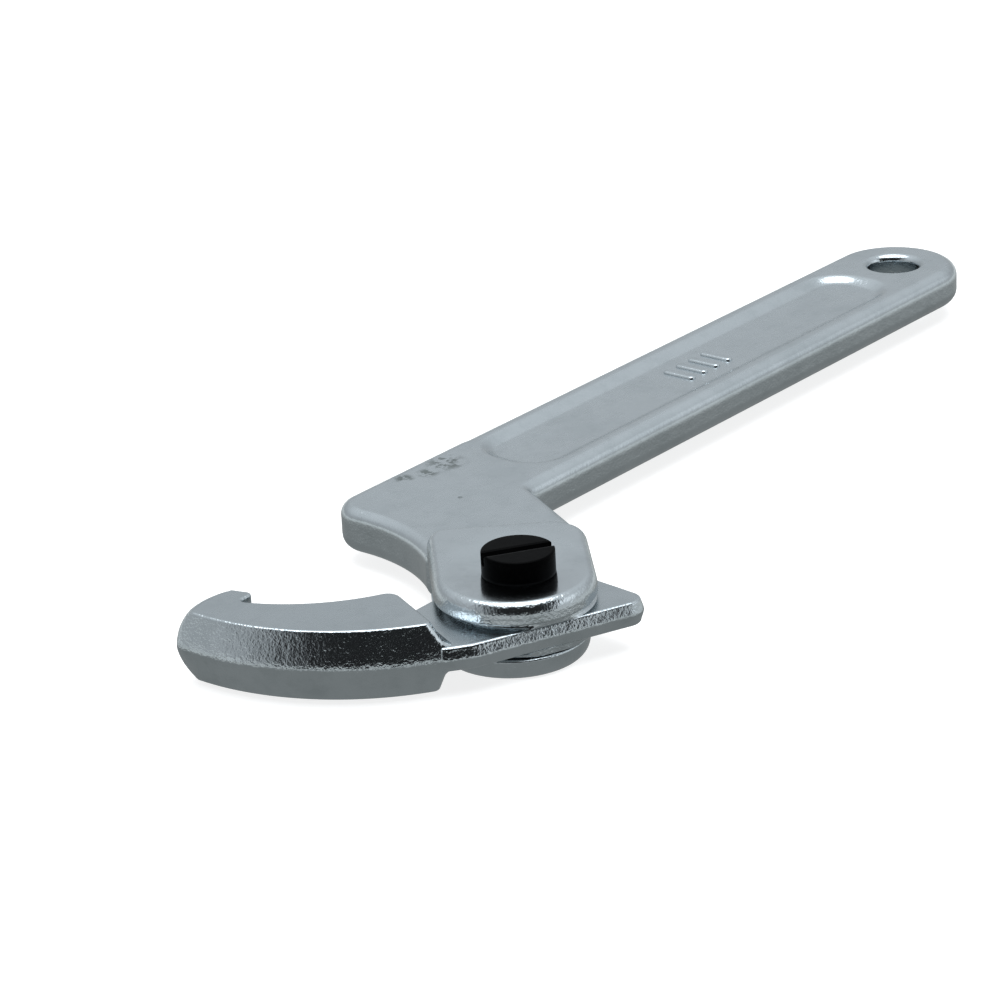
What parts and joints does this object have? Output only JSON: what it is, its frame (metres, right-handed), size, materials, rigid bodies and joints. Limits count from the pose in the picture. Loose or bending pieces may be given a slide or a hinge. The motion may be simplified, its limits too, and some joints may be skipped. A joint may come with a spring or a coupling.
{
  "type": "fire hydrant hook wrench",
  "caption": "Adjustable hook wrench: forged handle with a forked head and hang hole, and a hinged hook jaw whose tooth catches the slot or lug of a round ring, cap or hose coupling.",
  "frame": {"origin": "centre of the hang hole at the end of the grip, half way through its thickness", "axes": "+X along the grip away from the jaw; +Y across the grip, from the pivot's side to the heel's side; +Z along the pivot screw towards its slotted head"},
  "size_m": [0.2867, 0.0881, 0.0228],
  "materials": {
    "plated_handle": "satin plating over ground forging",
    "plated_jaw": "bright plating over pebbled forging",
    "black_screw": "black oxide, slightly glossy"
  },
  "bodies": {
    "handle": {"handle": "plated_handle", "pivot_screw": "black_screw"},
    "jaw": {"hook_jaw": "plated_jaw"}
  },
  "joints": [
    {"name": "hook_pivot", "type": "hinge", "parent": "handle", "child": "jaw", "pos_m": [-0.2166, -0.0497, 0], "axis": [0, 0, 1], "range_deg": [-45, 62]}
  ]
}
